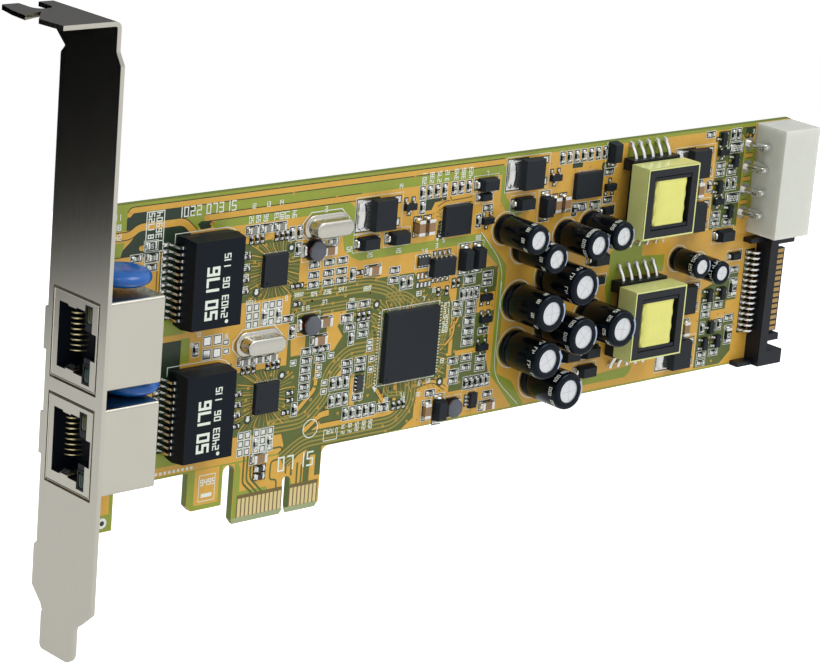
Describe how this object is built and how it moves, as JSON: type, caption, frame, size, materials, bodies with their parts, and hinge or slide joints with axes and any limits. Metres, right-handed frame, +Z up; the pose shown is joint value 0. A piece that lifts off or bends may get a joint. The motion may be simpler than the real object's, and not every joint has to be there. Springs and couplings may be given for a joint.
{
  "type": "network interface card",
  "caption": "Low-height network card with stacked network jacks behind a full-height slotted bracket, isolation modules, power transformers, an edge connector and power inlets at the far end.",
  "frame": {"origin": "bottom edge of the edge tongue, at the centre of its key notch and the middle of the board's thickness", "axes": "+X along the board away from the bracket, +Y out of the board's solder side, +Z up towards the bracket's flange"},
  "size_m": [0.2081, 0.0204, 0.12],
  "materials": {
    "aluminium_can": "can in a black printed sleeve",
    "amber_lamp": "unlit amber lens",
    "black_moulding": "matt moulded epoxy",
    "black_nylon": "moulded black nylon",
    "blue_dip": "glossy dipped coating",
    "board": "solder mask over copper",
    "bracket_steel": "satin plated steel sheet",
    "can_steel": "satin nickel plate",
    "capacitor_body": "brown ceramic body",
    "ferrite": "dark ferrite",
    "gold": "gold plate",
    "green_lamp": "unlit green lens",
    "jack_sheet": "plated steel sheet",
    "resistor_body": "black glazed body",
    "screw_steel": "bright plated steel",
    "tinned_lead": "bright tin plate",
    "white_nylon": "moulded white nylon",
    "yellow_tape": "polyester tape"
  },
  "bodies": {
    "root": {"amber_lamp_lower": "amber_lamp", "amber_lamp_upper": "amber_lamp", "bracket": "bracket_steel", "bracket_screws": "screw_steel", "can_capacitor_1": "aluminium_can", "can_capacitor_10": "aluminium_can", "can_capacitor_11": "aluminium_can", "can_capacitor_12": "aluminium_can", "can_capacitor_2": "aluminium_can", "can_capacitor_3": "aluminium_can", "can_capacitor_4": "aluminium_can", "can_capacitor_5": "aluminium_can", "can_capacitor_6": "aluminium_can", "can_capacitor_7": "aluminium_can", "can_capacitor_8": "aluminium_can", "can_capacitor_9": "aluminium_can", "chip_capacitors": "capacitor_body", "chip_resistors": "resistor_body", "circuit_board": "board", "crystal_lower": "can_steel", "crystal_upper": "can_steel", "disc_capacitor_lower": "blue_dip", "disc_capacitor_upper": "blue_dip", "edge_contacts": "gold", "flat_inlet_contacts": "gold", "flat_inlet_housing": "black_nylon", "green_lamp_lower": "green_lamp", "green_lamp_upper": "green_lamp", "isolation_leads_lower": "tinned_lead", "isolation_leads_upper": "tinned_lead", "isolation_module_lower": "black_moulding", "isolation_module_upper": "black_moulding", "jack_contacts_lower": "gold", "jack_contacts_upper": "gold", "jack_insert_lower": "black_nylon", "jack_insert_upper": "black_nylon", "jack_shield_lower": "jack_sheet", "jack_shield_upper": "jack_sheet", "network_chips": "black_moulding", "power_controllers": "black_moulding", "power_inductors": "ferrite", "power_inlet_housing": "white_nylon", "power_inlet_pins": "tinned_lead", "power_transistors": "black_moulding", "rectifier_diodes": "black_moulding", "resistor_arrays": "resistor_body", "small_outline_chips": "black_moulding", "small_transistors": "black_moulding", "switch_chip": "black_moulding", "transformer_bobbin_lower": "black_nylon", "transformer_bobbin_upper": "black_nylon", "transformer_core_lower": "ferrite", "transformer_core_upper": "ferrite", "transformer_pins_lower": "tinned_lead", "transformer_pins_upper": "tinned_lead", "transformer_tape_lower": "yellow_tape", "transformer_tape_upper": "yellow_tape", "transformer_winding_lower": "yellow_tape", "transformer_winding_upper": "yellow_tape", "upright_chip_resistors": "resistor_body"}
  },
  "joints": []
}
